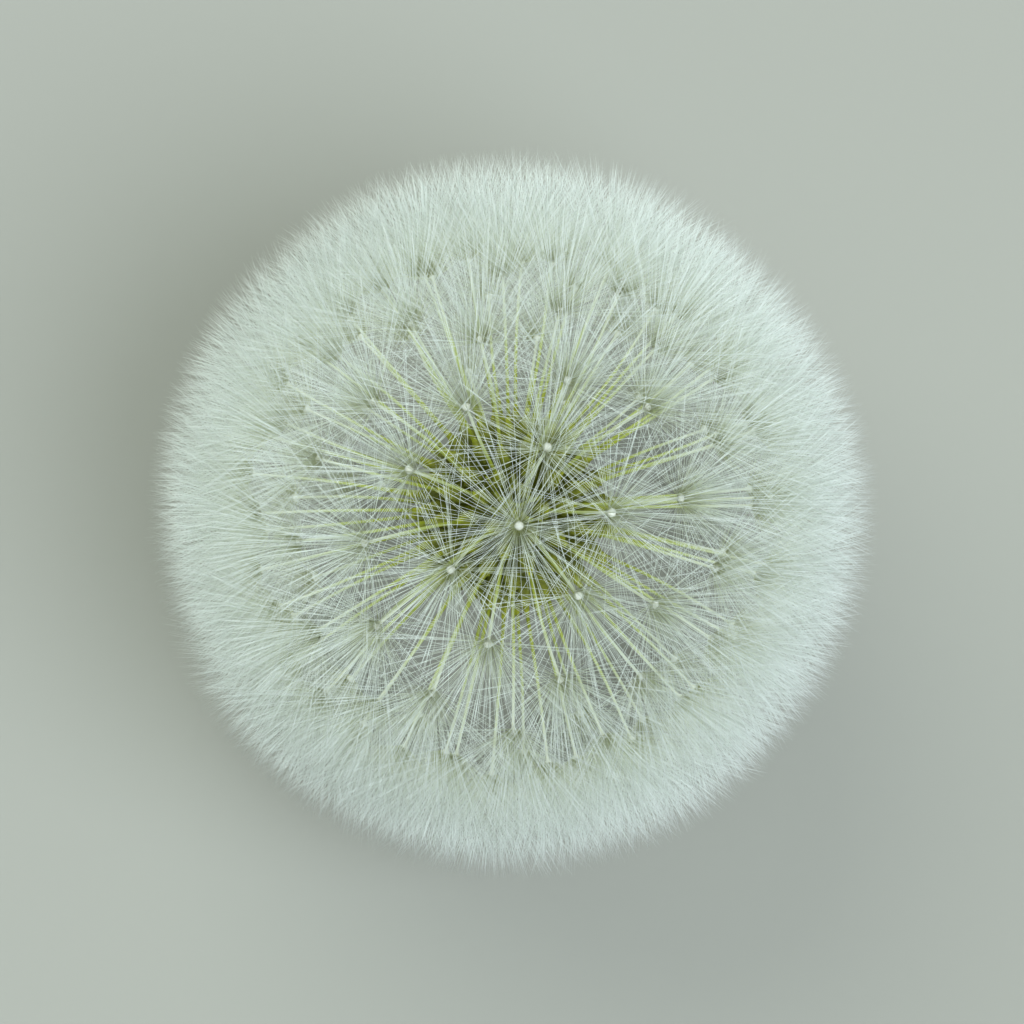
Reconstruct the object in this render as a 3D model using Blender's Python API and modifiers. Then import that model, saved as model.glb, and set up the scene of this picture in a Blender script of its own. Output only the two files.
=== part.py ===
"""Dandelion seed head, picked with a short stub of its hollow stalk and resting on its lowest hairs.

Metres, +Z up. The origin is on the surface that the head rests on, straight below the middle of the ball.
From the middle outwards: the receptacle, the achenes that stand on it, their beaks, and the open hairs
(the pappus) at the end of each beak. Two whorls of bracts hang down round the stalk.
"""

import math
import random

import bmesh
import bpy
from mathutils import Matrix, Vector

MM = 0.001
MERGE = 0.01 * MM  # points closer than this become one
SHARP = math.radians(40)  # edges bent more than this stay sharp

# The ball
BALL_RADIUS = 25 * MM  # reach of the longest hairs
BALL_MIDDLE = Vector((0, 0, 19 * MM))  # above the surface, so the lowest hairs are pressed flat
SEED_COUNT = 102
LOWEST_SEED = math.radians(140)  # angle from the top of the ball to the last seed
GOLDEN_ANGLE = math.pi * (3 - math.sqrt(5))  # turn from each seed to the next
GAP = 0.3 * MM  # between pieces that touch

# The receptacle, a dome with its flat underside on the bracts' cup
DOME_RADIUS = 3.6 * MM
DOME_UNDERSIDE = -2.3 * MM  # below the ball's middle
DOME_SIDES = 18
DOME_STEPS = 7
SEEDS_CROWD = 0.8  # share of a seed's angle in the ball at which it stands on the dome

# One seed: its achene, then its beak, then its pappus
ACHENE_ROOT = 3.1 * MM  # distance from the middle, sunk in the dome
ACHENE_LENGTH = 4.3 * MM
ACHENE_RADIUS = 0.52 * MM
ACHENE_SIDES = 4  # real achenes are roughly four-angled
# Its profile, tip to root: (share of its radius, share of its length)
ACHENE_PROFILE = [(0.0, 1.0), (0.25, 1.0), (0.65, 0.86), (1.0, 0.6), (0.5, 0.0), (0.0, 0.0)]
PLATE_REACH = 17.5 * MM  # distance from the middle to the top of each beak
PLATE_RADIUS = 0.4 * MM
PLATE_DEPTH = 0.25 * MM  # from the beak's top to the plate's rim
CROWN_RADIUS = 0.6 * PLATE_RADIUS
CROWN_HEIGHT = 0.24 * MM
CROWN_POINT = 0.08 * MM
BEAK_RADIUS = 0.14 * MM
BEAK_FOOT_RADIUS = 0.8 * BEAK_RADIUS
RAYS_A_TIER = 5
# Each tier of hairs: lean from the seed's own line, length, and twist from the tier below
OUTER_TIER = (math.radians(68), 5.8 * MM, 0.0)
MIDDLE_TIER = (math.radians(43), 7.4 * MM, math.radians(30))
INNER_TIER = (math.radians(18), 7.8 * MM, 0.0)
LEAN_SPREAD = math.radians(5)
TURN_SPREAD = math.radians(6)
LENGTH_SPREAD = 0.06

# The bracts, hanging from a cup under the dome
CUP_TOP = DOME_UNDERSIDE - GAP
CUP_HEIGHT = 1.9 * MM
CUP_RADIUS = 3.3 * MM
CUP_BEVEL = 0.4 * MM
CUP_TOP_SHARE = 0.93  # of its radius
CUP_FOOT_SHARE = 0.8
COLLAR_HEIGHT = 0.9 * MM
COLLAR_RADIUS = 2.95 * MM
BRACT_THICKNESS = 0.6 * MM
BRACT_HOLLOW = 0.22  # how far its edges bend in, as a share of its half width
INNER_BRACTS = 13
OUTER_BRACTS = 11
CUP_SIDES = 18
COLLAR_SIDES = 16
# Middle line of a bract, in millimetres: (distance from the stalk's axis, height from the ball's middle)
INNER_LINE = [(2.7, -3.4), (3.75, -4.1), (4.35, -5.9), (4.4, -8.8), (4.1, -12.0), (3.7, -15.2)]
OUTER_LINE = [(2.5, -4.95), (3.05, -5.3), (3.2, -6.9), (3.1, -9.0), (3.0, -11.3)]
# Half its width, in millimetres, at each point of that line
INNER_HALF_WIDTHS = [0.7, 0.85, 0.9, 0.75, 0.5, 0.16]
OUTER_HALF_WIDTHS = [0.5, 0.62, 0.62, 0.45, 0.14]

# The stalk, a hollow tube cut off level with the lowest hairs
STALK_TOP_RADIUS = 2.2 * MM
STALK_CUT_RADIUS = 2.0 * MM
STALK_WALL = 0.65 * MM
STALK_SIDES = 20

rng = random.Random(7)


def clearScene():
    for old in list(bpy.data.objects):
        bpy.data.objects.remove(old, do_unlink=True)


def newCollection(name):
    made = bpy.data.collections.new(name)
    bpy.context.scene.collection.children.link(made)
    return made


def newMaterial(name, colour, roughness):
    made = bpy.data.materials.new(name)
    made.use_nodes = True
    shader = made.node_tree.nodes["Principled BSDF"]
    shader.inputs["Base Color"].default_value = (*colour, 1)
    shader.inputs["Roughness"].default_value = roughness
    return made


def addObject(name, mesh, collection, place=None):
    made = bpy.data.objects.new(name, mesh)
    made.matrix_world = place or Matrix.Identity(4)
    collection.objects.link(made)
    return made


def turnedMesh(name, profile, sides, closed=False):
    """A mesh turned about Z from (distance, height) points that run down the outer side."""
    mesh = bpy.data.meshes.new(name)
    count = len(profile)
    edges = [(i, i + 1) for i in range(count - 1)] + ([(count - 1, 0)] if closed else [])
    mesh.from_pydata([(r, 0, z) for r, z in profile], edges, [])
    blank = addObject(name, mesh, bpy.context.scene.collection)
    screw = blank.modifiers.new("Turn", "SCREW")
    screw.steps = screw.render_steps = sides
    screw.use_merge_vertices = True
    screw.merge_threshold = MERGE
    bpy.context.view_layer.update()
    turned = bpy.data.meshes.new_from_object(blank.evaluated_get(bpy.context.evaluated_depsgraph_get()))
    bpy.data.objects.remove(blank)
    return turned


def fuse(base, repeats):
    """Joins every object of the collection repeats to base, as one solid."""
    join = base.modifiers.new("Fuse", "BOOLEAN")
    join.operation = "UNION"
    join.operand_type = "COLLECTION"
    join.collection = repeats
    join.solver = "MANIFOLD"
    bpy.context.view_layer.update()
    whole = bpy.data.meshes.new_from_object(base.evaluated_get(bpy.context.evaluated_depsgraph_get()))
    base.modifiers.clear()
    base.data = whole
    for used in list(repeats.objects):
        bpy.data.objects.remove(used, do_unlink=True)
    bpy.data.collections.remove(repeats)


def finish(part, material):
    part.data.materials.clear()
    part.data.materials.append(material)
    part.data.shade_smooth()
    part.data.set_sharp_from_angle(angle=SHARP)


def direction(angle, turn):
    """The unit vector that leans by angle from Z, towards turn."""
    return Vector((math.sin(angle) * math.cos(turn), math.sin(angle) * math.sin(turn), math.cos(angle)))


def seedPlaces():
    """(foot, plate) of each seed, from the ball's middle, along the spiral in which seeds grow."""
    places = []
    lowest = math.cos(LOWEST_SEED)
    for i in range(SEED_COUNT):
        angle = math.acos(1 - (1 - lowest) * (i + 0.5) / SEED_COUNT)
        turn = i * GOLDEN_ANGLE
        foot = direction(angle * SEEDS_CROWD, turn) * ACHENE_ROOT
        places.append((foot, direction(angle, turn) * PLATE_REACH))
    return places


def standing(foot, axis, twist=0.0):
    """The matrix that puts a mesh's origin at foot, from the ball's middle, with its Z along axis."""
    turn = axis.to_track_quat("Z", "Y").to_matrix().to_4x4()
    return Matrix.Translation(BALL_MIDDLE + foot) @ turn @ Matrix.Rotation(twist, 4, "Z")


def makeAchenes(parts, places):
    """The receptacle's dome with every achene standing on it."""
    quarter = math.pi / 2
    shoulder = math.asin(-DOME_UNDERSIDE / DOME_RADIUS)
    arc = [quarter - (quarter + shoulder) * k / DOME_STEPS for k in range(DOME_STEPS + 1)]
    profile = [(DOME_RADIUS * math.cos(a), DOME_RADIUS * math.sin(a)) for a in arc]
    dome = turnedMesh("dome", profile + [(0, DOME_UNDERSIDE)], DOME_SIDES)
    achenes = addObject("receptacle_and_achenes", dome, parts, Matrix.Translation(BALL_MIDDLE))

    outline = [(out * ACHENE_RADIUS, up * ACHENE_LENGTH) for out, up in ACHENE_PROFILE]
    spindle = turnedMesh("achene", outline, ACHENE_SIDES)
    repeats = newCollection("achenes to fuse")
    for i, (foot, plate) in enumerate(places):
        axis = (plate - foot).normalized()
        addObject(f"achene_{i}", spindle, repeats, standing(foot, axis, rng.uniform(0, math.pi)))
    fuse(achenes, repeats)
    return achenes


def linkedSeeds(places):
    """For each seed the plates whose hairs its own cross: the nearest seed before it, and those after it."""
    links = [[] for _ in places]
    for i in range(1, len(places)):
        nearest = min(range(i), key=lambda j: (places[j][1] - places[i][1]).length)
        links[i].append(places[nearest][1])
        links[nearest].append(places[i][1])
    return links


def pappusMesh(foot, plate, place, crossings):
    """A beak with its plate, whose faces are drawn out into hairs. crossings are the neighbours' plates."""
    beakFoot = -(plate - foot).length + ACHENE_LENGTH + GAP
    shape = bmesh.new()
    bmesh.ops.create_cone(
        shape, segments=RAYS_A_TIER, radius1=BEAK_FOOT_RADIUS, radius2=BEAK_RADIUS,
        depth=-beakFoot - PLATE_DEPTH, cap_ends=True,
    )
    bmesh.ops.translate(shape, verts=shape.verts, vec=(0, 0, (beakFoot - PLATE_DEPTH) / 2))
    top = max(shape.faces, key=lambda face: face.calc_center_median().z)
    tiers = []
    for radius, height in ((PLATE_RADIUS, 0.0), (CROWN_RADIUS, CROWN_HEIGHT)):
        grown = bmesh.ops.extrude_discrete_faces(shape, faces=[top])["faces"][0]
        ring = [edge.link_faces for edge in grown.edges]
        tiers.append([face for pair in ring for face in pair if face is not grown])
        scale = radius / grown.verts[0].co.xy.length
        for vert in grown.verts:
            vert.co = (vert.co.x * scale, vert.co.y * scale, height)
        top = grown
    tiers.append(bmesh.ops.poke(shape, faces=[top], offset=CROWN_POINT)["faces"])

    toNeighbours = [(place.inverted() @ (BALL_MIDDLE + other)).xy for other in crossings]
    for tier, (lean, length, twist) in zip(tiers, (OUTER_TIER, MIDDLE_TIER, INNER_TIER)):
        aims = rayAims(tier, lean, twist, toNeighbours if tier is tiers[0] else [])
        for face, aim in aims:
            reach = length * (1 - rng.uniform(0, LENGTH_SPREAD))
            tip = drawnOut(place, aim * reach)
            bmesh.ops.poke(shape, faces=[face])["verts"][0].co = tip
    mesh = bpy.data.meshes.new("pappus")
    shape.to_mesh(mesh)
    shape.free()
    return mesh


def rayAims(faces, lean, twist, toNeighbours):
    """The face and direction of each hair in a tier. One hair leans straight towards each neighbour."""
    def offBy(face, turn):
        middle = face.calc_center_median()
        gap = math.atan2(middle.y, middle.x) - turn
        return abs((gap + math.pi) % (2 * math.pi) - math.pi)

    free = list(faces)
    aims = []
    for other in toNeighbours:
        turn = math.atan2(other.y, other.x)
        face = min(free, key=lambda f: offBy(f, turn))
        free.remove(face)
        aims.append((face, direction(lean, turn)))
    for face in free:
        middle = face.calc_center_median()
        turn = math.atan2(middle.y, middle.x) + twist + rng.uniform(-TURN_SPREAD, TURN_SPREAD)
        aims.append((face, direction(lean + rng.uniform(-LEAN_SPREAD, LEAN_SPREAD), turn)))
    return aims


def drawnOut(place, tip):
    """A hair's tip, held inside the ball and on or above the surface that the head rests on."""
    world = place @ tip
    outwards = world - BALL_MIDDLE
    if outwards.length > BALL_RADIUS:
        world = BALL_MIDDLE + outwards.normalized() * BALL_RADIUS
    world.z = max(world.z, 0)
    return place.inverted() @ world


def makePappus(parts, places):
    """Every beak and its hairs. Neighbours' hairs are joined where they cross, so the ball holds together."""
    links = linkedSeeds(places)
    repeats = newCollection("pappus to fuse")
    base = None
    for i, (foot, plate) in enumerate(places):
        axis = (plate - foot).normalized()
        toParent = links[i][0] - plate
        face = standing(plate, axis).inverted().to_3x3() @ toParent
        twist = math.atan2(face.y, face.x) + math.pi / RAYS_A_TIER
        place = standing(plate, axis, twist)
        mesh = pappusMesh(foot, plate, place, links[i])
        if i == 0:
            base = addObject("beaks_and_pappus", mesh, parts, place)
        else:
            addObject(f"pappus_{i}", mesh, repeats, place)
    fuse(base, repeats)
    return base


def bractMesh(line, halfWidths):
    """A blade along a line in the XZ plane, a little hollow across, thickened to both sides."""
    steps = len(line) - 1
    shape = bmesh.new()
    bmesh.ops.create_grid(shape, x_segments=2, y_segments=steps, size=1)
    for vert in shape.verts:
        step = round((vert.co.y + 1) / 2 * steps)
        out, height = line[step]
        across = vert.co.x * halfWidths[step]
        hollow = BRACT_HOLLOW * abs(across)
        vert.co = Vector((out - hollow, across, height)) * MM
    bmesh.ops.triangulate(shape, faces=shape.faces)
    bmesh.ops.recalc_face_normals(shape, faces=shape.faces)
    mesh = bpy.data.meshes.new("bract")
    shape.to_mesh(mesh)
    shape.free()
    blank = addObject("bract", mesh, bpy.context.scene.collection)
    thick = blank.modifiers.new("Thickness", "SOLIDIFY")
    thick.thickness = BRACT_THICKNESS
    thick.offset = 0
    bpy.context.view_layer.update()
    solid = bpy.data.meshes.new_from_object(blank.evaluated_get(bpy.context.evaluated_depsgraph_get()))
    bpy.data.objects.remove(blank)
    return solid


def makeWhorl(parts, name, ring, blade, count, firstTurn):
    """A turned ring with blades fused to it all round."""
    whorl = addObject(name, ring, parts, Matrix.Translation(BALL_MIDDLE))
    repeats = newCollection(name + " to fuse")
    for i in range(count):
        turn = firstTurn + 2 * math.pi * i / count
        place = Matrix.Translation(BALL_MIDDLE) @ Matrix.Rotation(turn, 4, "Z")
        addObject(f"{name}_{i}", blade, repeats, place)
    fuse(whorl, repeats)
    return whorl


def makeInnerBracts(parts):
    low = CUP_TOP - CUP_HEIGHT
    cup = [(0, CUP_TOP), (CUP_TOP_SHARE * CUP_RADIUS, CUP_TOP), (CUP_RADIUS, CUP_TOP - CUP_BEVEL)]
    cup += [(CUP_FOOT_SHARE * CUP_RADIUS, low), (0, low)]
    ring = turnedMesh("cup", cup, CUP_SIDES)
    blade = bractMesh(INNER_LINE, INNER_HALF_WIDTHS)
    return makeWhorl(parts, "inner_bracts", ring, blade, INNER_BRACTS, 0)


def makeOuterBracts(parts):
    top = CUP_TOP - CUP_HEIGHT - GAP
    inside = STALK_TOP_RADIUS + GAP
    low = top - COLLAR_HEIGHT
    collar = [(inside, top), (COLLAR_RADIUS, top), (COLLAR_RADIUS, low), (inside, low)]
    ring = turnedMesh("collar", collar, COLLAR_SIDES, closed=True)
    halfStep = math.pi / OUTER_BRACTS
    blade = bractMesh(OUTER_LINE, OUTER_HALF_WIDTHS)
    return makeWhorl(parts, "outer_bracts", ring, blade, OUTER_BRACTS, halfStep)


def makeStalk(parts):
    top = CUP_TOP - CUP_HEIGHT - GAP
    low = -BALL_MIDDLE.z
    tube = [(STALK_TOP_RADIUS, top), (STALK_CUT_RADIUS, low)]
    tube += [(STALK_CUT_RADIUS - STALK_WALL, low), (STALK_TOP_RADIUS - STALK_WALL, top)]
    mesh = turnedMesh("tube", tube, STALK_SIDES, closed=True)
    return addObject("stalk_stub", mesh, parts, Matrix.Translation(BALL_MIDDLE))


def main():
    clearScene()
    parts = newCollection("dandelion seed head")
    places = seedPlaces()
    finish(makeAchenes(parts, places), newMaterial("achene", (0.22, 0.19, 0.07), 0.7))
    finish(makePappus(parts, places), newMaterial("pappus", (0.82, 0.84, 0.8), 0.5))
    finish(makeInnerBracts(parts), newMaterial("inner bract", (0.24, 0.29, 0.12), 0.6))
    finish(makeOuterBracts(parts), newMaterial("outer bract", (0.18, 0.25, 0.1), 0.6))
    finish(makeStalk(parts), newMaterial("stalk", (0.42, 0.4, 0.24), 0.5))


main()
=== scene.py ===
# Dandelion seed head: the finished surface of every piece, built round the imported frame. Metres, +Z up.
import math

import bpy
import numpy as np
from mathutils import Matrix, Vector


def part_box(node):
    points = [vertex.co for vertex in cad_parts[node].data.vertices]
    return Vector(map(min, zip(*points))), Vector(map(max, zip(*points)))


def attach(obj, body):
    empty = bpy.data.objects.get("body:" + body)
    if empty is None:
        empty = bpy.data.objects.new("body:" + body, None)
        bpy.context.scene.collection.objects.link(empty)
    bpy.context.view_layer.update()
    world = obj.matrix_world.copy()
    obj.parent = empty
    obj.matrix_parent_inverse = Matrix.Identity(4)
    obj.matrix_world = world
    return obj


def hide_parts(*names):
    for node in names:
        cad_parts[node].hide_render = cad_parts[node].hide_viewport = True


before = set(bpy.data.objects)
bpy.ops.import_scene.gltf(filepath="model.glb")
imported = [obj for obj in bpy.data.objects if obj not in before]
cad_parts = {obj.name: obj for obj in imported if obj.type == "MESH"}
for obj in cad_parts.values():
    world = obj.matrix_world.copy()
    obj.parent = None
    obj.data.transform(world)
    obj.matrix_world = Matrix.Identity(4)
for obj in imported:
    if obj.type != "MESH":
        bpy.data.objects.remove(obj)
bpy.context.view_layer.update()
print("frame loaded:", len(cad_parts), "nodes")

mm = 0.001
goldenAngle = math.pi * (3 - math.sqrt(5))  # turn from each seed to the next
mapEdge = 0.01  # margin left round the colour map
noiseLow, noiseHigh = 0.3, 0.7  # nearly all that a noise texture gives lies between these
draw = np.random.default_rng(11)  # every random number comes from here, so each run gives the same head

# The ball of hairs, read from the frame
pappusLow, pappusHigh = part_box("beaks_and_pappus")
ballRadius = (pappusHigh.x - pappusLow.x + pappusHigh.y - pappusLow.y) / 4
ballMiddle = np.array((0.0, 0.0, pappusHigh.z - ballRadius))


def linear(hexColour):
    # sRGB hex to the linear colour that shaders use
    parts = [int(hexColour[i : i + 2], 16) / 255 for i in (1, 3, 5)]
    return [p / 12.92 if p <= 0.04045 else ((p + 0.055) / 1.055) ** 2.4 for p in parts] + [1]


def addNode(tree, kind, settings, inputs, steps=()):
    # settings are the node's own properties, an input is a value or another node's output, and steps are
    # the (place, hex colour) stops of a colour ramp
    node = tree.nodes.new(kind)
    for name, value in settings.items():
        setattr(node, name, value)
    for name, value in inputs.items():
        if isinstance(value, bpy.types.NodeSocket):
            tree.links.new(value, node.inputs[name])
        else:
            node.inputs[name].default_value = value
    for k, (place, hexColour) in enumerate(steps):
        stops = node.color_ramp.elements
        stop = stops[k] if k < len(stops) else stops.new(place)
        stop.position = place
        stop.color = linear(hexColour)
    return node


def newMaterial(name, **surface):
    # a Principled material with those values on the shader's own sockets
    material = bpy.data.materials.new(name)
    material.use_nodes = True
    shader = material.node_tree.nodes["Principled BSDF"]
    for socket, value in surface.items():
        shader.inputs[socket.replace("_", " ")].default_value = value
    return material, material.node_tree, shader


def placeOnSkin(tree):
    # how far along its skin a point is, and its tone, as addLofts lays them in the map
    place = addNode(tree, "ShaderNodeUVMap", {"uv_map": "OFBake"}, {})
    parts = addNode(tree, "ShaderNodeSeparateXYZ", {}, {"Vector": place.outputs["UV"]})
    return parts.outputs["X"], parts.outputs["Y"]


def unit(vectors):
    return vectors / np.maximum(np.linalg.norm(vectors, axis=-1, keepdims=True), 1e-12)


def pointing(angle, turn):
    # unit vectors that lean by angle from +Z, towards turn
    sine = np.sin(angle)
    return np.stack([sine * np.cos(turn), sine * np.sin(turn), np.cos(angle) * np.ones_like(turn)], -1)


def tubeSections(paths, radii, sides):
    # a ring of points round each point of each path: radii are (tubes, points) or (tubes, points, sides)
    along = unit(np.gradient(paths, axis=1))
    helper = np.eye(3)[np.abs(along).max(1).argmin(-1)][:, None]
    across = unit(np.cross(along, helper))[:, :, None]
    other = np.cross(along[:, :, None], across)
    angles = (2 * np.pi * np.arange(sides) / sides)[:, None]
    if radii.ndim == 2:
        radii = radii[..., None]
    return paths[:, :, None] + radii[..., None] * (np.cos(angles) * across + np.sin(angles) * other)


def addLofts(name, sections, ends, tones, toneBand=0.06):
    # closed skins through rings of points, (skins, rings, sides, 3). ends are the points that close both
    # ends, (skins, 2, 3), or None where the last ring meets the first. The map OFBake holds how far along
    # each skin a point is, and its tone, which is the skin's own number plus its place round the ring.
    skins, rings, sides = sections.shape[:3]
    here = np.arange(sides)
    after = np.roll(here, -1)
    steps = rings - 1 if ends is not None else rings
    quads, quadPlaces = [], []
    for r in range(steps):
        n = (r + 1) % rings
        low, high = r * sides, n * sides
        quads.append(np.stack([low + here, low + after, high + after, high + here], 1))
        flat = np.stack([here, here + 1, here + 1, here], 1) / sides
        quadPlaces.append(np.stack([np.full(flat.shape, r) + [0, 0, 1, 1], flat], -1))
    corners = [np.concatenate(quads).ravel()]
    places = [np.concatenate(quadPlaces).reshape(-1, 2) / [steps, 1]]
    sizes = [np.full(steps * sides, 4)]
    vertices = sections.reshape(skins, rings * sides, 3)
    if ends is not None:
        vertices = np.concatenate([vertices, ends], 1)
        last = (rings - 1) * sides
        root = np.stack([after, here, np.full(sides, rings * sides)], 1)
        tip = np.stack([last + here, last + after, np.full(sides, rings * sides + 1)], 1)
        corners += [root.ravel(), tip.ravel()]
        near = 0.3 / steps  # the end faces take a little of the map too, or they would have no colour in it
        rootAlong = np.tile([near, near, 0.0], (sides, 1))
        rootRound = np.stack([here + 1, here, here + 0.5], 1) / sides
        tipAlong = np.tile([1 - near, 1 - near, 1.0], (sides, 1))
        tipRound = np.stack([here, here + 1, here + 0.5], 1) / sides
        places.append(np.stack([rootAlong, rootRound], -1).reshape(-1, 2))
        places.append(np.stack([tipAlong, tipRound], -1).reshape(-1, 2))
        sizes += [np.full(2 * sides, 3)]
    corners, places, sizes = np.concatenate(corners), np.concatenate(places), np.concatenate(sizes)

    each = vertices.shape[1]
    loops = (corners[None] + each * np.arange(skins)[:, None]).ravel()
    starts = np.concatenate([[0], np.cumsum(np.tile(sizes, skins))[:-1]])
    uv = np.tile(places, (skins, 1, 1))
    uv[..., 1] = tones[:, None] * (1 - toneBand) + toneBand * uv[..., 1]
    uv = mapEdge + (1 - 2 * mapEdge) * uv

    mesh = bpy.data.meshes.new(name)
    mesh.vertices.add(skins * each)
    mesh.vertices.foreach_set("co", vertices.astype(np.float32).ravel())
    mesh.loops.add(len(loops))
    mesh.loops.foreach_set("vertex_index", loops.astype(np.int32))
    mesh.polygons.add(len(starts))
    mesh.polygons.foreach_set("loop_start", starts.astype(np.int32))
    mesh.update(calc_edges=True)
    mesh.uv_layers.new(name="OFBake").uv.foreach_set("vector", uv.astype(np.float32).ravel())
    mesh.shade_smooth()
    piece = bpy.data.objects.new(name, mesh)
    bpy.context.scene.collection.objects.link(piece)
    return piece


def dress(piece, material, node):
    # gives a piece its material and its body, and hides the node of the frame that it stands for
    piece.data.materials.append(material)
    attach(piece, "root")
    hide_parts(node)


def smoothLine(points, count):
    # a smooth curve through given points, evenly read
    points = np.array(points, float)
    before = np.concatenate([[2 * points[0] - points[1]], points, [2 * points[-1] - points[-2]]])
    t = np.linspace(0, len(points) - 1, count)
    i = np.minimum(t.astype(int), len(points) - 2)
    f = (t - i)[:, None] if points.ndim > 1 else t - i
    a, b, c, d = before[i], before[i + 1], before[i + 2], before[i + 3]
    return 0.5 * (2 * b + (c - a) * f + (2 * a - 5 * b + 4 * c - d) * f**2 + (3 * b - 3 * c + d - a) * f**3)


# The seeds' places, on the frame's own spiral

seeds = {
    "count": 102,
    "lowestAngle": 140,  # degrees from the top of the ball
    "crowding": 0.8,  # share of a seed's angle at which it stands on the receptacle
    "foot": 3.1 * mm,  # all three distances are from the ball's middle
    "acheneTip": 7.4 * mm,
    "plate": 17.5 * mm,
    "unevenness": 0.3 * mm,  # how far each plate stands off the even ball
}


def seedPlaces():
    number = np.arange(seeds["count"])
    lowest = math.cos(math.radians(seeds["lowestAngle"]))
    angle = np.arccos(1 - (1 - lowest) * (number + 0.5) / seeds["count"])
    turn = number * goldenAngle
    foot = pointing(angle * seeds["crowding"], turn) * seeds["foot"]
    reach = seeds["plate"] + draw.uniform(-1, 1, seeds["count"]) * seeds["unevenness"]
    plate = pointing(angle, turn) * reach[:, None]
    axis = unit(plate - foot)
    acheneTip = foot + axis * (seeds["acheneTip"] - seeds["foot"])
    return ballMiddle + foot, ballMiddle + acheneTip, ballMiddle + plate, axis


foot, acheneTip, plate, axis = seedPlaces()
print("seeds placed:", len(foot))


# Pappus hairs

hairs = {
    "eachSeed": 264,
    "length": 9.7 * mm,
    "lengthSpread": 0.05,
    "edgeSpread": 0.02,  # how far short of the ball's skin a tip may stop, as a share of its radius
    "tuftSpread": 0.018,  # the same for all the hairs of a seed
    "leanFrom": 7,  # degrees from the seed's own line
    "leanTo": 66,
    "leanBias": 1.05,  # below 1 puts more hairs at the wide end
    "leanJitter": 0.2,  # share of the whole lean
    "turnJitter": 0.15,  # radians off the even spiral
    "sway": 0.12,  # radians that a hair turns aside along its length
    "archFrom": -16,  # degrees that a hair bends outwards along its length, below 0 for inwards
    "archTo": 8,
    "radii": [0.006, 0.011, 0.012, 0.013],  # millimetres, from the root on; the tip is a point
    "sides": 3,
    "rim": 0.27 * mm,  # where hairs stand on the plate
    "rimSpread": 0.07 * mm,
    "pieces": 4,  # meshes that the hairs are shared among
    "colours": [
        # the greener stops towards the root are partly painted light: they stand in for the green light
        # scattered through the shaded inside of the ball
        (0.0, "#d6dca6"), (0.12, "#dde4bd"), (0.28, "#e9f0dc"), (0.5, "#eff7ee"), (1.0, "#f2faf9"),
    ],
    "toneLow": 0.9,  # the dullest hair's share of those colours
}


def hairMaterial():
    # Pappus hair, an air-filled tube of cellulose: white by scattering, and yellow-green towards its root,
    # partly its own tint and partly painted green light scattered inside the ball, with a faint silk gleam
    # along it
    material, tree, shader = newMaterial("pappus hair cellulose", Roughness=0.4, IOR=1.53)
    along, tone = placeOnSkin(tree)
    shade = addNode(tree, "ShaderNodeMapRange", {}, {"Value": tone, "To Min": hairs["toneLow"]})
    colour = addNode(tree, "ShaderNodeValToRGB", {}, {"Fac": along}, hairs["colours"])
    toned = addNode(
        tree, "ShaderNodeVectorMath", {"operation": "MULTIPLY"},
        {0: colour.outputs["Color"], 1: shade.outputs["Result"]},
    )
    tree.links.new(toned.outputs["Vector"], shader.inputs["Base Color"])
    return material


def hairPaths(which):
    # every hair of those seeds as points, (hairs, rings + 1, 3)
    count, each, points = len(which), hairs["eachSeed"], len(hairs["radii"]) + 1
    turn = (np.arange(each) * goldenAngle)[None] + draw.uniform(-1, 1, (count, each)) * hairs["turnJitter"]
    share = ((np.arange(each) + 0.5) / each)[None]
    share = share + draw.uniform(-0.5, 0.5, (count, each)) * hairs["leanJitter"]
    share = np.clip(share, 0, 1) ** hairs["leanBias"]
    lean = np.radians(hairs["leanFrom"] + (hairs["leanTo"] - hairs["leanFrom"]) * share)
    length = hairs["length"] * (1 + draw.uniform(-1, 1, (count, each)) * hairs["lengthSpread"])
    edge = ballRadius * (1 - hairs["edgeSpread"] * draw.uniform(0, 1, (count, each)) ** 2)
    edge = edge * (1 - hairs["tuftSpread"] * draw.uniform(0, 1, (count, 1)))
    rise = seeds["plate"] * np.cos(lean)
    length = np.minimum(length, np.sqrt(rise**2 + edge**2 - seeds["plate"] ** 2) - rise)
    arch = np.radians(draw.uniform(hairs["archFrom"], hairs["archTo"], (count, each)))
    sway = draw.uniform(-1, 1, (count, each)) * hairs["sway"]
    root = hairs["rim"] + hairs["rimSpread"] * draw.uniform(-1, 1, (count, each))
    local = [root[..., None] * pointing(np.full_like(turn, math.pi / 2), turn)]
    for step in range(points - 1):
        s = (step + 0.5) / (points - 1)
        way = pointing(lean + arch * (s - 0.5), turn + sway * s)
        local.append(local[-1] + way * (length / (points - 1))[..., None])
    local = np.stack(local, 2)
    up = axis[which]
    aside = unit(np.cross(up, [0.3, 1.0, 0.2]))  # any way that no seed points in
    seedAxes = np.stack([aside, np.cross(up, aside), up], 1)
    world = plate[which][:, None, None] + np.einsum("nhpk,nkj->nhpj", local, seedAxes)
    world = world.reshape(count * each, points, 3)
    outward = world - ballMiddle
    reach = np.linalg.norm(outward, axis=-1, keepdims=True)
    world = ballMiddle + outward * np.minimum(1, ballRadius / reach)
    world[..., 2] = np.maximum(world[..., 2], max(hairs["radii"]) * mm)  # the lowest are pressed flat
    return world


def makeHairs():
    material = hairMaterial()
    taper = np.append(hairs["radii"], 0) * mm
    for k, which in enumerate(np.array_split(np.arange(seeds["count"]), hairs["pieces"])):
        paths = hairPaths(which)
        sections = tubeSections(paths, np.tile(taper, (len(paths), 1)), hairs["sides"])[:, :-1]
        ends = np.stack([paths[:, 0], paths[:, -1]], 1)
        piece = addLofts(f"pappus_{k + 1}", sections, ends, draw.uniform(0, 1, len(paths)))
        dress(piece, material, "beaks_and_pappus")
        print("pappus hairs:", len(paths))


makeHairs()


# Beaks and their plates

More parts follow.
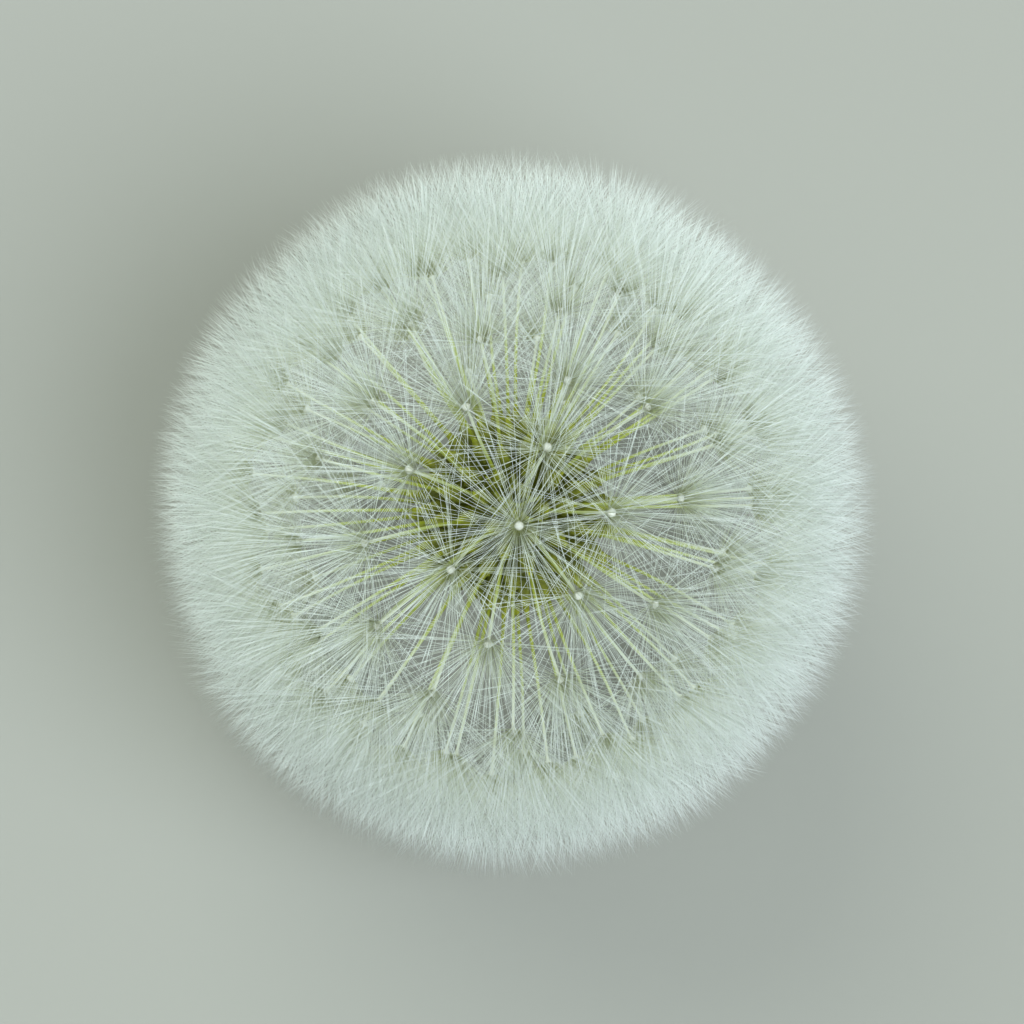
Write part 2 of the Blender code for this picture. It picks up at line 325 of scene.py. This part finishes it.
beaks = {
    "radius": 0.1 * mm,
    "footRadius": 0.14 * mm,
    "footFlare": 4,  # the higher, the shorter the wide foot
    "bow": 0.25 * mm,  # how far a beak bends off straight
    "leastBow": 0.2,  # share of that
    "sunk": 0.3 * mm,  # how deep its foot stands in the achene
    "rings": 9,
    "sides": 12,
    # the top in millimetres: (distance above the plate's middle, radius)
    "top": [(-0.5, 0.1), (-0.2, 0.13), (-0.05, 0.27), (0.05, 0.33), (0.16, 0.22)],
    "plateTop": 0.2,  # the plate's highest point
    "colours": [
        (0.0, "#879022"), (0.15, "#a0ab36"), (0.32, "#bcc880"), (0.55, "#dfe6d0"), (1.0, "#f5f7ef"),
    ],
}


def beakMaterial():
    # Beak, a dry hollow stem of cellulose: straw-green at its foot, pale and a little glossy above
    material, tree, shader = newMaterial("beak dry stem", Roughness=0.42, IOR=1.5)
    along = placeOnSkin(tree)[0]
    colour = addNode(tree, "ShaderNodeValToRGB", {}, {"Fac": along}, beaks["colours"])
    tree.links.new(colour.outputs["Color"], shader.inputs["Base Color"])
    return material


def makeBeaks():
    shaft = np.linspace(0, 1, beaks["rings"])
    topHeights, topRadii = np.array(beaks["top"]).T * mm
    start = acheneTip - axis * beaks["sunk"]
    span = plate + axis * topHeights[0] - start
    bend = unit(np.cross(axis, draw.normal(size=axis.shape))) * beaks["bow"]
    amount = draw.uniform(beaks["leastBow"], 1, (len(axis), 1, 1))
    bow = np.sin(math.pi * shaft)[None, :, None] * bend[:, None] * amount
    lower = start[:, None] + span[:, None] * shaft[None, :, None] + bow
    upper = plate[:, None] + axis[:, None] * topHeights[None, 1:, None]
    paths = np.concatenate([lower, upper], 1)
    radii = beaks["radius"] + (beaks["footRadius"] - beaks["radius"]) * (1 - shaft) ** beaks["footFlare"]
    radii = np.append(radii, topRadii[1:])
    sections = tubeSections(paths, np.tile(radii, (len(paths), 1)), beaks["sides"])
    ends = np.stack([start, plate + axis * beaks["plateTop"] * mm], 1)
    piece = addLofts("beaks_and_plates", sections, ends, draw.uniform(0, 1, len(paths)))
    dress(piece, beakMaterial(), "beaks_and_pappus")
    print("beaks:", len(paths))


makeBeaks()


# Achenes

achenes = {
    "radius": 0.54 * mm,
    "rings": 30,
    "sides": 24,
    "ribs": 6,
    "ribDepth": 0.13,  # share of the radius
    "ribTop": 0.9,  # spines stand where the ribs' cosine is over this
    "spineHeight": 0.13 * mm,
    "spinesFrom": 0.56,  # share of the length, root to tip
    "spinesTo": 0.86,
    "sinkBelow": 0.2 * mm,  # how deep the root stands in the receptacle
    "radiusSpread": 0.12,
    "profile": [0.36, 0.5, 0.66, 0.82, 0.94, 1.0, 0.94, 0.68, 0.36, 0.27],
    "colours": [
        (0.0, "#a8ae2a"), (0.2, "#80861e"), (0.5, "#5a6114"), (0.8, "#7a801c"), (1.0, "#a4ac26"),
    ],
    "mottleSize": 0.35 * mm,
    "mottleDark": 0.65,
    "mottleLight": 1.3,
}


def acheneMaterial():
    # Achene, a dry ribbed seed coat: dull olive brown, paler at both ends, mottled
    material, tree, shader = newMaterial("achene dry seed coat", Roughness=0.62, IOR=1.48)
    along = placeOnSkin(tree)[0]
    colour = addNode(tree, "ShaderNodeValToRGB", {}, {"Fac": along}, achenes["colours"])
    spot = addNode(tree, "ShaderNodeTexCoord", {}, {})
    mottle = addNode(
        tree, "ShaderNodeTexNoise", {},
        {"Vector": spot.outputs["Object"], "Scale": 1 / achenes["mottleSize"]},
    )
    shade = addNode(
        tree, "ShaderNodeMapRange", {},
        {"Value": mottle.outputs["Fac"], "From Min": noiseLow, "From Max": noiseHigh,
         "To Min": achenes["mottleDark"], "To Max": achenes["mottleLight"]},
    )
    toned = addNode(
        tree, "ShaderNodeVectorMath", {"operation": "MULTIPLY"},
        {0: colour.outputs["Color"], 1: shade.outputs["Result"]},
    )
    tree.links.new(toned.outputs["Vector"], shader.inputs["Base Color"])
    return material


def makeAchenes():
    share = np.linspace(0, 1, achenes["rings"])
    length = seeds["acheneTip"] - seeds["foot"] + achenes["sinkBelow"]
    root = foot - axis * achenes["sinkBelow"]
    paths = root[:, None] + axis[:, None] * (share * length)[None, :, None]
    around = 2 * math.pi * np.arange(achenes["sides"]) / achenes["sides"]
    ribs = 1 + achenes["ribDepth"] * np.cos(achenes["ribs"] * around)
    radii = achenes["radius"] * smoothLine(achenes["profile"], achenes["rings"])[:, None] * ribs[None]
    spiny = (share > achenes["spinesFrom"]) & (share < achenes["spinesTo"])
    onRib = np.cos(achenes["ribs"] * around) > achenes["ribTop"]
    every = np.arange(achenes["rings"]) % 2 == 0  # a spine on every second ring
    radii = radii + achenes["spineHeight"] * ((spiny & every)[:, None] & onRib[None])
    spread = achenes["radiusSpread"]
    radii = radii[None] * draw.uniform(1 - spread, 1 + spread, (len(paths), 1, 1))
    sections = tubeSections(paths, radii, achenes["sides"])
    ends = np.stack([root, root + axis * length], 1)
    piece = addLofts("achenes", sections, ends, draw.uniform(0, 1, len(paths)), toneBand=0.3)
    dress(piece, acheneMaterial(), "receptacle_and_achenes")
    print("achenes:", len(paths))


makeAchenes()


# Receptacle

receptacle = {
    "radius": 3.6 * mm,
    "underside": -2.3 * mm,  # from the ball's middle
    "rings": 64,
    "sides": 128,
    "pitDepth": 0.3 * mm,
    "pitRadius": 0.62 * mm,
    "pitSharpness": 2,
    "poleGap": 0.02,  # radians that the first and last rings stand off the poles
    "colours": [(0.3, "#98a430"), (0.7, "#bfc860")],
    "grain": 0.5 * mm,
}


def receptacleMaterial():
    # Receptacle, spongy pith: soft matt cream green with a faint grain
    material, tree, shader = newMaterial("receptacle pith", Roughness=0.75, IOR=1.45)
    spot = addNode(tree, "ShaderNodeTexCoord", {}, {})
    grain = addNode(
        tree, "ShaderNodeTexNoise", {}, {"Vector": spot.outputs["Object"], "Scale": 1 / receptacle["grain"]}
    )
    colour = addNode(tree, "ShaderNodeValToRGB", {}, {"Fac": grain.outputs["Fac"]}, receptacle["colours"])
    tree.links.new(colour.outputs["Color"], shader.inputs["Base Color"])
    return material


def makeReceptacle():
    gap = receptacle["poleGap"]
    angle = np.linspace(gap, math.pi - gap, receptacle["rings"])[:, None]
    turn = -np.linspace(0, 2 * math.pi, receptacle["sides"], endpoint=False)[None]
    out = pointing(angle + 0 * turn, turn + 0 * angle)
    feet = unit(foot - ballMiddle)
    nearest = np.arccos(np.clip(np.einsum("rsk,nk->rsn", out, feet).max(-1), -1, 1)) * receptacle["radius"]
    pits = np.exp(-((nearest / receptacle["pitRadius"]) ** 2) * receptacle["pitSharpness"])
    points = out * (receptacle["radius"] - receptacle["pitDepth"] * pits)[..., None]
    points[..., 2] = np.maximum(points[..., 2], receptacle["underside"])
    top, bottom = points[0].mean(0), points[-1].mean(0)
    ends = ballMiddle + np.stack([top, bottom])[None]
    piece = addLofts("receptacle", ballMiddle + points[None], ends, np.zeros(1), toneBand=1)
    dress(piece, receptacleMaterial(), "receptacle_and_achenes")
    print("receptacle done")


makeReceptacle()


# Bracts

innerBracts = {
    "count": 13,
    # all in millimetres; the middle line is (distance from the stalk's axis, height from the ball's middle)
    "line": [(2.6, -3.0), (3.4, -3.6), (4.0, -4.4), (4.35, -5.9), (4.4, -8.8), (4.1, -12.0), (3.8, -15.2)],
    "halfWidths": [0.75, 0.85, 0.9, 0.92, 0.75, 0.46, 0.04],
    "thickness": 0.13,
    "firstTurn": 0.0,  # radians
    "colours": [(0.0, "#7d8a4e"), (0.35, "#69783f"), (0.75, "#75773f"), (1.0, "#5a4326")],
    "margin": "#c9c89c",
}

outerBracts = {
    "count": 11,
    "line": [(2.35, -4.9), (2.8, -5.1), (3.1, -5.6), (3.2, -6.9), (3.1, -9.0), (3.0, -11.3)],
    "halfWidths": [0.5, 0.6, 0.64, 0.62, 0.42, 0.04],
    "thickness": 0.12,
    "firstTurn": math.pi / 11,
    "colours": [(0.0, "#6f8148"), (0.4, "#586c38"), (0.8, "#616a36"), (1.0, "#4f3b24")],
    "margin": "#b6ba86",
}

blade = {
    "rings": 36,
    "sides": 28,
    "hollow": 0.22,  # how far the edges bend in, as a share of the half width
    "edgeThinning": 0.5,  # how much of its thickness a bract loses at its edges
    "tipThinning": 0.7,  # the same for its tip
    "leastHalfWidth": 0.04 * mm,
    "midrib": 0.09 * mm,  # proud, on the outer face
    "midribWidth": 0.16,  # share of the half width
    "veins": 0.02 * mm,
    "veinPairs": 5,
    "lengthSpread": 0.06,
    "sway": 0.25 * mm,  # how far a tip leans aside
    "lift": (-0.3 * mm, 0.5 * mm),  # how far a tip stands in or out
    "clearance": 0.5 * mm,  # of the tips above the floor
    "veinGap": 0.3 * mm,  # across the blade
    "veinLength": 3.0 * mm,
    "veinDark": 0.76,
    "veinLight": 1.2,
    "marginFrom": 0.72,  # share of the half width where the thin pale edge starts
    "marginTo": 0.97,
}


def streaks(tree, gap, length, dark, light):
    # a tone that changes quickly across the piece and slowly up it, as veins and fibres do
    spot = addNode(tree, "ShaderNodeTexCoord", {}, {})
    drawn = addNode(
        tree, "ShaderNodeMapping", {}, {"Vector": spot.outputs["Object"], "Scale": (1, 1, gap / length)}
    )
    grain = addNode(tree, "ShaderNodeTexNoise", {}, {"Vector": drawn.outputs["Vector"], "Scale": 1 / gap})
    tone = addNode(
        tree, "ShaderNodeMapRange", {},
        {"Value": grain.outputs["Fac"], "From Min": noiseLow, "From Max": noiseHigh,
         "To Min": dark, "To Max": light},
    )
    return tone.outputs["Result"]


def paleEdges(tree, colour, around, look):
    # the map's second number turns once for each bract, so its cosine is the place across the blade
    turns = addNode(
        tree, "ShaderNodeMapRange", {},
        {"Value": around, "From Min": mapEdge, "From Max": 1 - mapEdge,
         "To Max": 2 * math.pi * look["count"]},
    )
    across = addNode(tree, "ShaderNodeMath", {"operation": "COSINE"}, {0: turns.outputs["Result"]})
    off = addNode(tree, "ShaderNodeMath", {"operation": "ABSOLUTE"}, {0: across.outputs["Value"]})
    edge = addNode(
        tree, "ShaderNodeMapRange", {},
        {"Value": off.outputs["Value"], "From Min": blade["marginFrom"], "From Max": blade["marginTo"]},
    )
    edged = addNode(
        tree, "ShaderNodeMix", {"data_type": "RGBA"},
        {0: edge.outputs["Result"], 6: colour, 7: linear(look["margin"])},  # 6 and 7 are colours A and B
    )
    return edged.outputs[2]


def bractMaterial(name, look, isBlade):
    # Bract, a drying leaf: soft olive green, streaked along its veins, with thin pale edges and a brown tip
    material, tree, shader = newMaterial(name, Roughness=0.55, IOR=1.45)
    along, around = placeOnSkin(tree)
    colour = addNode(tree, "ShaderNodeValToRGB", {}, {"Fac": along}, look["colours"]).outputs["Color"]
    if isBlade:
        colour = paleEdges(tree, colour, around, look)
    shade = streaks(tree, blade["veinGap"], blade["veinLength"], blade["veinDark"], blade["veinLight"])
    toned = addNode(tree, "ShaderNodeVectorMath", {"operation": "MULTIPLY"}, {0: colour, 1: shade})
    tree.links.new(toned.outputs["Vector"], shader.inputs["Base Color"])
    return material


def makeBracts(name, look, node):
    count = look["count"]
    line = smoothLine(look["line"], blade["rings"]) * mm
    width = np.maximum(smoothLine(look["halfWidths"], blade["rings"]) * mm, blade["leastHalfWidth"])
    share = np.linspace(0, 1, blade["rings"])
    slope = unit(np.gradient(line, axis=0))
    outside = np.stack([-slope[:, 1], slope[:, 0]], 1)  # the outer face's normal, in the line's own plane
    around = 2 * math.pi * np.arange(blade["sides"]) / blade["sides"]
    x, y = np.cos(around), np.sin(around)
    thick = look["thickness"] * mm * y[None] * (1 - blade["edgeThinning"] * x[None] ** 2)
    thick = thick * (1 - blade["tipThinning"] * share[:, None] ** 4)
    rib = blade["midrib"] * np.exp(-((x / blade["midribWidth"]) ** 2)) * (y > 0) * (1 - share[:, None])
    vein = blade["veins"] * np.cos(x * math.pi * blade["veinPairs"])[None] * (y > 0)
    skins = []
    for k in range(count):
        longer = 1 + draw.uniform(-1, 1) * blade["lengthSpread"]
        aside = draw.uniform(-1, 1) * blade["sway"] * share**2
        lift = draw.uniform(*blade["lift"]) * share**2
        heights = line[0, 1] + (line[:, 1] - line[0, 1]) * longer
        heights = np.maximum(heights, blade["clearance"] - ballMiddle[2])
        across = x[None] * width[:, None] + aside[:, None]
        bent = -blade["hollow"] * x[None] ** 2 * width[:, None] + thick + rib + vein
        out = (line[:, 0] + lift)[:, None] + outside[:, :1] * bent
        up = heights[:, None] + outside[:, 1:] * bent
        turn = look["firstTurn"] + 2 * math.pi * k / count
        c, s = math.cos(turn), math.sin(turn)
        skins.append(np.stack([out * c - across * s, out * s + across * c, up + 0 * across], -1))
    sections = ballMiddle + np.stack(skins)
    ends = np.stack([sections[:, 0].mean(1), sections[:, -1].mean(1)], 1)
    piece = addLofts(name, sections, ends, np.linspace(0, 1, count), toneBand=1 / count)
    dress(piece, bractMaterial(name + " drying leaf", look, isBlade=True), node)
    print("bracts:", name, count)


makeBracts("bracts_inner", innerBracts, "inner_bracts")
makeBracts("bracts_outer", outerBracts, "outer_bracts")


# Cup under the receptacle, collar and stalk: turned shapes with shallow ribs

turned = {
    "sides": 96,
    # all in millimetres; each outline is (radius, height from the ball's middle), down the outer side
    "cup": [(3.05, -2.45), (3.3, -2.75), (3.25, -3.3), (3.0, -3.9), (2.65, -4.4), (2.4, -4.5)],
    "collar": [(2.35, -4.6), (2.75, -4.7), (2.9, -5.1), (2.75, -5.55), (2.4, -5.75)],
    "outlineRings": 24,
    "leafBaseRib": 0.05,
}

stalk = {
    "top": -4.5,  # all in millimetres
    "radii": (2.2, 2.0),
    "wall": 0.65,
    "cutEdge": 0.05,  # how far the cut end is rounded
    "rings": 40,
    "ribs": 24,
    "rib": 0.015,
    "colours": [(0.0, "#93a666"), (0.6, "#adb27a"), (0.9, "#b8ac80"), (1.0, "#a8926c")],
    "greenFrom": 14.0,  # height above the floor
    "fibreGap": 0.25,
    "fibreLength": 5.0,
    "fibreDark": 0.84,
    "fibreLight": 1.12,
}


def stalkMaterial():
    # Stalk, a fleshy hollow stem: smooth and faintly waxy, with long fibres, pale green that dries to straw
    # at the cut
    material, tree, shader = newMaterial("stalk waxy stem", Roughness=0.38, IOR=1.45)
    spot = addNode(tree, "ShaderNodeTexCoord", {}, {})
    parts = addNode(tree, "ShaderNodeSeparateXYZ", {}, {"Vector": spot.outputs["Object"]})
    height = addNode(
        tree, "ShaderNodeMapRange", {},
        {"Value": parts.outputs["Z"], "From Min": stalk["greenFrom"] * mm, "From Max": 0.0},
    )
    colour = addNode(tree, "ShaderNodeValToRGB", {}, {"Fac": height.outputs["Result"]}, stalk["colours"])
    shade = streaks(
        tree, stalk["fibreGap"] * mm, stalk["fibreLength"] * mm, stalk["fibreDark"], stalk["fibreLight"]
    )
    toned = addNode(
        tree, "ShaderNodeVectorMath", {"operation": "MULTIPLY"}, {0: colour.outputs["Color"], 1: shade}
    )
    tree.links.new(toned.outputs["Vector"], shader.inputs["Base Color"])
    return material


def turnedSections(outline, rib, ribs):
    turn = -2 * math.pi * np.arange(turned["sides"]) / turned["sides"]
    outline = np.array(outline) * mm
    radius = outline[:, :1] + rib * mm * np.cos(ribs * turn)[None]
    points = np.stack([radius * np.cos(turn), radius * np.sin(turn), outline[:, 1:] + 0 * radius], -1)
    return ballMiddle + points[None]


def makeLeafBase(name, look, node):
    outline = smoothLine(turned[name], turned["outlineRings"])
    sections = turnedSections(outline, turned["leafBaseRib"], look["count"])
    ends = np.stack([sections[:, 0].mean(1), sections[:, -1].mean(1)], 1)
    piece = addLofts(name, sections, ends, np.zeros(1), toneBand=1)
    dress(piece, bractMaterial(name + " leaf base", look, isBlade=False), node)
    print("leaf base:", name)


def makeStalk():
    share = np.linspace(0, 1, stalk["rings"])
    topRadius, footRadius = stalk["radii"]
    ground = -ballMiddle[2] / mm
    cut = stalk["cutEdge"]
    radii = topRadius + (footRadius - topRadius) * share
    heights = stalk["top"] + (ground + cut - stalk["top"]) * share
    outer = np.stack([radii, heights], 1)
    inner = outer[::-1] - [stalk["wall"], 0]
    cutFace = [(footRadius - cut, ground), (footRadius - stalk["wall"] + cut, ground)]
    sections = turnedSections(np.concatenate([outer, cutFace, inner]), stalk["rib"], stalk["ribs"])
    piece = addLofts("stalk", sections, None, np.zeros(1), toneBand=1)
    dress(piece, stalkMaterial(), "stalk_stub")
    print("stalk done")


makeLeafBase("cup", innerBracts, "inner_bracts")
makeLeafBase("collar", outerBracts, "outer_bracts")
makeStalk()


# Floor, light and camera

studio = {
    "floorColour": "#9fa09b",
    "floorSize": 60.0,  # metres, wide enough that no edge of it shows in a low view
    # each light: (the way it comes from, strength, how soft in degrees, colour)
    "keyLight": ((0.5, -0.4, 0.9), 2.4, 40, "#ecf5fd"),
    "fillLight": ((-0.45, 0.62, 0.65), 1.7, 60, "#f0f7ea"),
    "skyColour": "#eef7ed",  # with its strength, the floor's own tone under these lights
    "skyStrength": 0.6,
    "cameraElevation": 76,
    "cameraAzimuth": 0,
    "lens": 180,
    "nearClip": 0.01,
    "ballShare": 0.72,  # how much of the picture's width the ball takes
}


def makeFloor():
    # Floor, matt backdrop paper: pale grey with no gloss
    paper = newMaterial("backdrop paper", Roughness=0.9, Base_Color=linear(studio["floorColour"]))[0]
    half = studio["floorSize"] / 2
    mesh = bpy.data.meshes.new("floor")
    corners = [(-half, -half, 0), (half, -half, 0), (half, half, 0), (-half, half, 0)]
    mesh.from_pydata(corners, [], [(0, 1, 2, 3)])
    floor = bpy.data.objects.new("floor", mesh)
    bpy.context.scene.collection.objects.link(floor)
    mesh.materials.append(paper)


def addLight(name, way, strength, softness, hexColour):
    light = bpy.data.lights.new(name, "SUN")
    light.energy = strength
    light.angle = math.radians(softness)
    light.color = linear(hexColour)[:3]
    lamp = bpy.data.objects.new(name, light)
    lamp.rotation_euler = Vector(way).to_track_quat("Z", "Y").to_euler()
    bpy.context.scene.collection.objects.link(lamp)


def makeSky():
    world = bpy.data.worlds.new("studio")
    world.use_nodes = True
    background = world.node_tree.nodes["Background"]
    background.inputs["Color"].default_value = linear(studio["skyColour"])
    background.inputs["Strength"].default_value = studio["skyStrength"]
    bpy.context.scene.world = world


def makeCamera():
    lens = bpy.data.cameras.new("camera")
    lens.lens = studio["lens"]
    lens.dof.use_dof = False
    lens.clip_start = studio["nearClip"]
    distance = 2 * ballRadius / studio["ballShare"] * lens.lens / lens.sensor_width
    elevation, azimuth = math.radians(studio["cameraElevation"]), math.radians(studio["cameraAzimuth"])
    level = math.cos(elevation)
    back = Vector((math.sin(azimuth) * level, -math.cos(azimuth) * level, math.sin(elevation)))
    camera = bpy.data.objects.new("camera", lens)
    camera.location = Vector(ballMiddle) + back * distance
    camera.rotation_euler = (-back).to_track_quat("-Z", "Y").to_euler()
    bpy.context.scene.collection.objects.link(camera)
    bpy.context.scene.camera = camera
    bpy.context.scene.view_settings.view_transform = "Standard"


makeFloor()
addLight("key light", *studio["keyLight"])
addLight("fill light", *studio["fillLight"])
makeSky()
makeCamera()
print("studio done")
